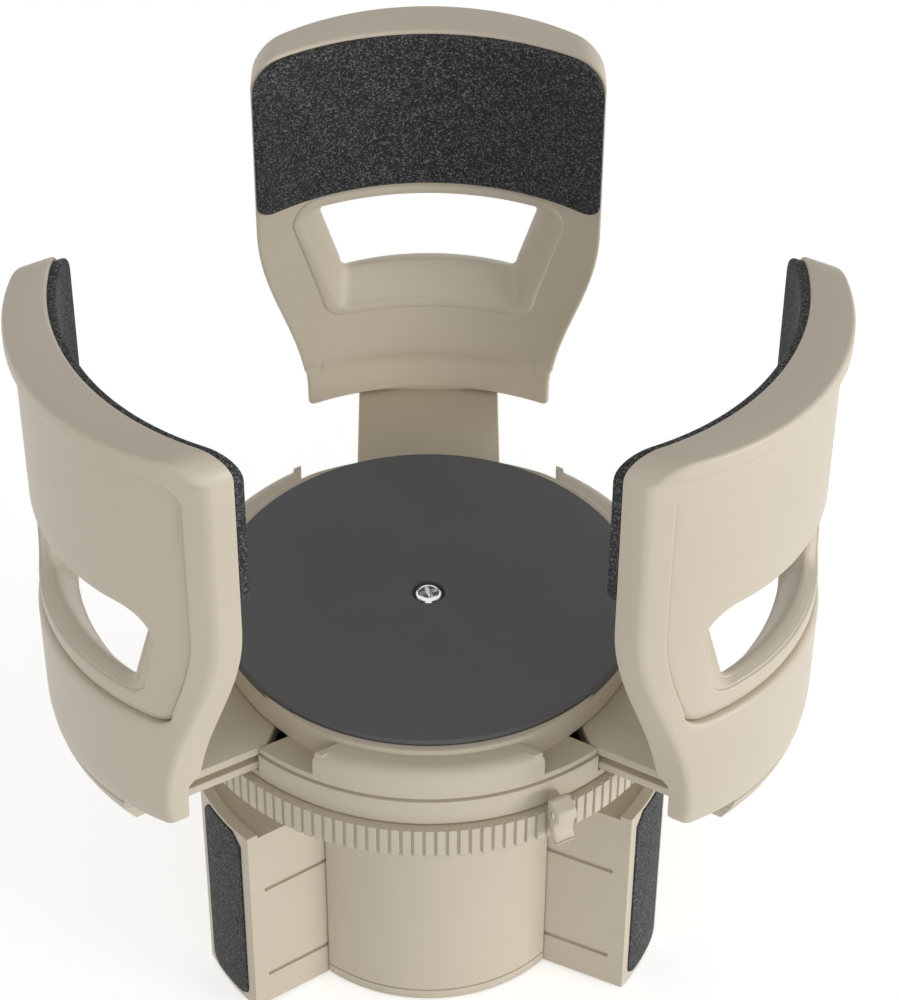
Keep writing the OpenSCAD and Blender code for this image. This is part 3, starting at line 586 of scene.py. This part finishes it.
def ramp(tree, source, low, high, low_colour, high_colour):
    """A colour that goes from one to another as a texture rises from low to high."""
    made = tree.nodes.new("ShaderNodeValToRGB")
    made.color_ramp.elements[0].position = low
    made.color_ramp.elements[1].position = high
    made.color_ramp.elements[0].color = (*low_colour, 1)
    made.color_ramp.elements[1].color = (*high_colour, 1)
    tree.links.new(source, made.inputs["Fac"])
    return made.outputs["Color"]


def spread(tree, source, low, high):
    """A node that lays a value from 0 to 1 out between two others."""
    made = node(tree, "ShaderNodeMapRange", **{"To Min": low, "To Max": high})
    tree.links.new(source, made.inputs["Value"])
    return made


def bumped(tree, shader, height, strength, distance, edge=0.0):
    """Surface relief from a texture, with edges softened over a radius if one is given."""
    bump = node(tree, "ShaderNodeBump", Strength=strength, Distance=distance)
    tree.links.new(height, bump.inputs["Height"])
    if edge:
        soft = node(tree, "ShaderNodeBevel", Radius=edge, samples=6)
        tree.links.new(soft.outputs["Normal"], bump.inputs["Normal"])
    tree.links.new(bump.outputs["Normal"], shader.inputs["Normal"])


def moulded_plastic(name, colour, roughness=0.42, edge=0.0):
    """Satin moulded plastic: a faint cloud in its colour and gloss, and a fine spark-eroded grain."""
    made, tree, shader = material(name, colour, roughness)
    cloud = texture(tree, "ShaderNodeTexNoise", Scale=18.0, Detail=3.0)
    clouded = ramp(tree, cloud.outputs["Fac"], 0.3, 0.7, tinted(colour, 0.965), tinted(colour, 1.03))
    tree.links.new(clouded, shader.inputs["Base Color"])
    gloss = spread(tree, cloud.outputs["Fac"], roughness - 0.04, roughness + 0.05)
    tree.links.new(gloss.outputs["Result"], shader.inputs["Roughness"])
    grain = texture(tree, "ShaderNodeTexNoise", Scale=2600.0, Detail=2.0)
    bumped(tree, shader, grain.outputs["Fac"], strength=0.05, distance=0.0001, edge=edge)
    return made


def speckled_rubber(name, edge=0.0):
    """Black grip pad with fine grey flecks."""
    made, tree, shader = material(name, (0.012, 0.012, 0.013), 0.65, specular=0.3)
    fleck = texture(tree, "ShaderNodeTexVoronoi", Scale=3600.0)
    cloud = texture(tree, "ShaderNodeTexNoise", Scale=2200.0, Detail=4.0, Roughness=0.7)
    bright = node(tree, "ShaderNodeSeparateColor")
    tree.links.new(fleck.outputs["Color"], bright.inputs["Color"])
    rare = node(tree, "ShaderNodeMath", operation="POWER")
    tree.links.new(bright.outputs["Red"], rare.inputs[0])
    rare.inputs[1].default_value = 4.0
    mixed = node(tree, "ShaderNodeMath", operation="MULTIPLY")
    tree.links.new(rare.outputs[0], mixed.inputs[0])
    tree.links.new(cloud.outputs["Fac"], mixed.inputs[1])
    colour = ramp(tree, mixed.outputs[0], 0.02, 0.6, (0.011, 0.011, 0.012), (0.2, 0.2, 0.205))
    tree.links.new(colour, shader.inputs["Base Color"])
    bumped(tree, shader, cloud.outputs["Fac"], strength=0.25, distance=0.0003, edge=edge)
    return made


def matte_rubber(name, colour, edge=0.0):
    """Dull rubber with a faint cloud and a fine grain."""
    made, tree, shader = material(name, colour, 0.72)
    cloud = texture(tree, "ShaderNodeTexNoise", Scale=40.0, Detail=4.0)
    clouded = ramp(tree, cloud.outputs["Fac"], 0.3, 0.7, colour, tinted(colour, 1.12))
    tree.links.new(clouded, shader.inputs["Base Color"])
    grain = texture(tree, "ShaderNodeTexNoise", Scale=3000.0, Detail=2.0)
    bumped(tree, shader, grain.outputs["Fac"], strength=0.1, distance=0.0001, edge=edge)
    return made


def bright_metal(name, colour, roughness, edge=0.0):
    """Metal with fine scuffs in its gloss."""
    made, tree, shader = material(name, colour, roughness, metallic=1.0)
    scuff = texture(tree, "ShaderNodeTexNoise", Scale=700.0, Detail=5.0)
    gloss = spread(tree, scuff.outputs["Fac"], roughness * 0.8, roughness * 1.3)
    tree.links.new(gloss.outputs["Result"], shader.inputs["Roughness"])
    bumped(tree, shader, scuff.outputs["Fac"], strength=0.05, distance=0.0001, edge=edge)
    return made


BEIGE = (0.600, 0.530, 0.420)
beige = moulded_plastic("beige_plastic", BEIGE)
beige_edged = moulded_plastic("beige_plastic_edged", BEIGE, edge=0.0004)
speckle = speckled_rubber("speckled_grip")
speckle_edged = speckled_rubber("speckled_grip_edged", edge=0.0004)
mat_rubber = matte_rubber("dark_mat", (0.105, 0.105, 0.108), edge=0.0003)
dark_plastic = moulded_plastic("dark_plastic", (0.03, 0.03, 0.032), edge=0.0003)
screw_metal = bright_metal("screw_chrome", (0.82, 0.82, 0.84), 0.16, edge=0.00012)
pin_steel = bright_metal("pin_steel", (0.6, 0.6, 0.62), 0.28, edge=0.0002)

# What each solid of the frame is made of, also those that a piece of this script replaces
FINISH = {
    "base_tube": beige_edged, "bottom_cap": beige_edged, "bottom_screws": pin_steel,
    "twist_ring": beige_edged, "lower_housing": beige_edged, "scroll_plate": dark_plastic,
    "deck_shell": beige_edged, "deck_mat": mat_rubber, "centre_screw": screw_metal,
    "screw_washer": screw_metal, "lock_lever": beige_edged, "lever_pin": pin_steel,
}
for side in SIDES:
    FINISH.update({"fin_" + side: beige_edged, "fin_pad_" + side: speckle_edged, "fin_pin_" + side: pin_steel,
                   "arm_" + side: beige_edged, "arm_cover_" + side: beige_edged,
                   "arm_liner_" + side: speckle_edged, "arm_pin_" + side: pin_steel})


def dress_nodes():
    for name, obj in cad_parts.items():
        obj.data.materials.clear()
        obj.data.materials.append(FINISH[name])


def make_arms():
    body, rail, cover, liner = arm_mesh(), rail_mesh(), cover_mesh(), liner_mesh()
    for side, angle in SIDES.items():
        owner = "arm_" + side
        place("arm_body_" + side, [body, rail], angle, owner, beige, "shell", "arm_" + side)
        place("arm_panel_" + side, [cover], angle, owner, beige, "shell", "arm_cover_" + side)
        place("arm_grip_" + side, [liner], angle, owner, speckle, "grip", "arm_liner_" + side)


def make_lever():
    place("lever_body", [lever_mesh(), nose_mesh()], LEVER_ANGLE, "lever", beige, "shell", "lock_lever")
    place("lever_hinge_pin", [pin_mesh()], LEVER_ANGLE, "base", pin_steel, "steel", "lever_pin")


# Camera of the photograph, in metres and degrees: it looks down at about 44 degrees from the front
CAMERA_AT = (0.0, -0.4963, 0.5499)
CAMERA_TILT = 44.04
CLIP_START = 0.02

# Its picture, in pixels: focal length, width and height, and where its axis meets the picture
FOCAL_PX, IMAGE_W, IMAGE_H = 3187.8, 899, 1000
AXIS_PX = (428.5, 666.4)
SENSOR = 36.0


def make_camera():
    data = bpy.data.cameras.new("photo_camera")
    data.sensor_width = SENSOR
    data.lens = FOCAL_PX / IMAGE_H * SENSOR
    data.shift_x = (IMAGE_W / 2 - AXIS_PX[0]) / IMAGE_H
    data.shift_y = (AXIS_PX[1] - IMAGE_H / 2) / IMAGE_H
    data.clip_start = CLIP_START
    camera = bpy.data.objects.new("photo_camera", data)
    camera.location = CAMERA_AT
    camera.rotation_euler = (math.radians(90 - CAMERA_TILT), 0, 0)
    bpy.context.scene.collection.objects.link(camera)
    bpy.context.scene.camera = camera


# Studio, in metres and watts: what the lamps point at, the background's brightness behind the object, its
# least and most as a source of light, and the floor, which lies just under the tube
LAMP_TARGET = (0, 0, 0.09)
SEEN_LEVEL = 1.0
LIGHT_LOW, LIGHT_HIGH = 0.26, 1.0
FLOOR_REACH, FLOOR_DROP = 6.0, 0.0004
FLOOR_GLOW = 0.5


def area_light(name, at, size, power):
    data = bpy.data.lights.new(name, "AREA")
    data.shape = "RECTANGLE"
    data.size, data.size_y = size
    data.energy = power
    lamp = bpy.data.objects.new(name, data)
    lamp.location = at
    lamp.rotation_euler = (Vector(LAMP_TARGET) - Vector(at)).to_track_quat("-Z", "Y").to_euler()
    bpy.context.scene.collection.objects.link(lamp)


def seen_rays(tree):
    """One for rays from the camera and for reflections, none for the rays that light the object."""
    rays = tree.nodes.new("ShaderNodeLightPath")
    seen = node(tree, "ShaderNodeMath", operation="MAXIMUM")
    tree.links.new(rays.outputs["Is Camera Ray"], seen.inputs[0])
    tree.links.new(rays.outputs["Is Glossy Ray"], seen.inputs[1])
    return seen.outputs[0]


def make_light():
    """Two lamps, and a white background whose light on the object falls off with the height it comes from."""
    area_light("key", at=(1.5, -0.75, 0.24), size=(0.8, 0.45), power=12)
    area_light("front", at=(-0.1, -1.9, 0.9), size=(1.6, 1.2), power=3.3)
    world = bpy.data.worlds.new("studio")
    bpy.context.scene.world = world
    world.use_nodes = True
    tree = world.node_tree
    sky = tree.nodes["Background"]
    sky.inputs["Color"].default_value = (1, 1, 1, 1)
    where = tree.nodes.new("ShaderNodeTexCoord")
    parts = tree.nodes.new("ShaderNodeSeparateXYZ")
    tree.links.new(where.outputs["Generated"], parts.inputs["Vector"])
    graded = spread(tree, parts.outputs["Z"], LIGHT_HIGH, LIGHT_LOW)
    level = spread(tree, seen_rays(tree), 0, SEEN_LEVEL)
    tree.links.new(graded.outputs["Result"], level.inputs["To Min"])
    tree.links.new(level.outputs["Result"], sky.inputs["Strength"])


def make_floor():
    """Pale floor that glows a little where the camera or a reflection sees it."""
    reach = FLOOR_REACH
    mesh = bpy.data.meshes.new("floor")
    mesh.from_pydata([(-reach, -reach, 0), (reach, -reach, 0), (reach, reach, 0), (-reach, reach, 0)], [],
                     [(0, 1, 2, 3)])
    floor = bpy.data.objects.new("floor", mesh)
    floor.location.z = -FLOOR_DROP
    bpy.context.scene.collection.objects.link(floor)
    made, tree, shader = material("pale_floor", (0.9, 0.9, 0.9), 0.8)
    lift = node(tree, "ShaderNodeMath", operation="MULTIPLY")
    tree.links.new(seen_rays(tree), lift.inputs[0])
    lift.inputs[1].default_value = FLOOR_GLOW
    shader.inputs["Emission Color"].default_value = (1, 1, 1, 1)
    tree.links.new(lift.outputs[0], shader.inputs["Emission Strength"])
    mesh.materials.append(made)


make_camera()
make_light()
make_floor()
dress_nodes()
make_arms()
make_lever()

bpy.context.scene.view_settings.view_transform = "Standard"
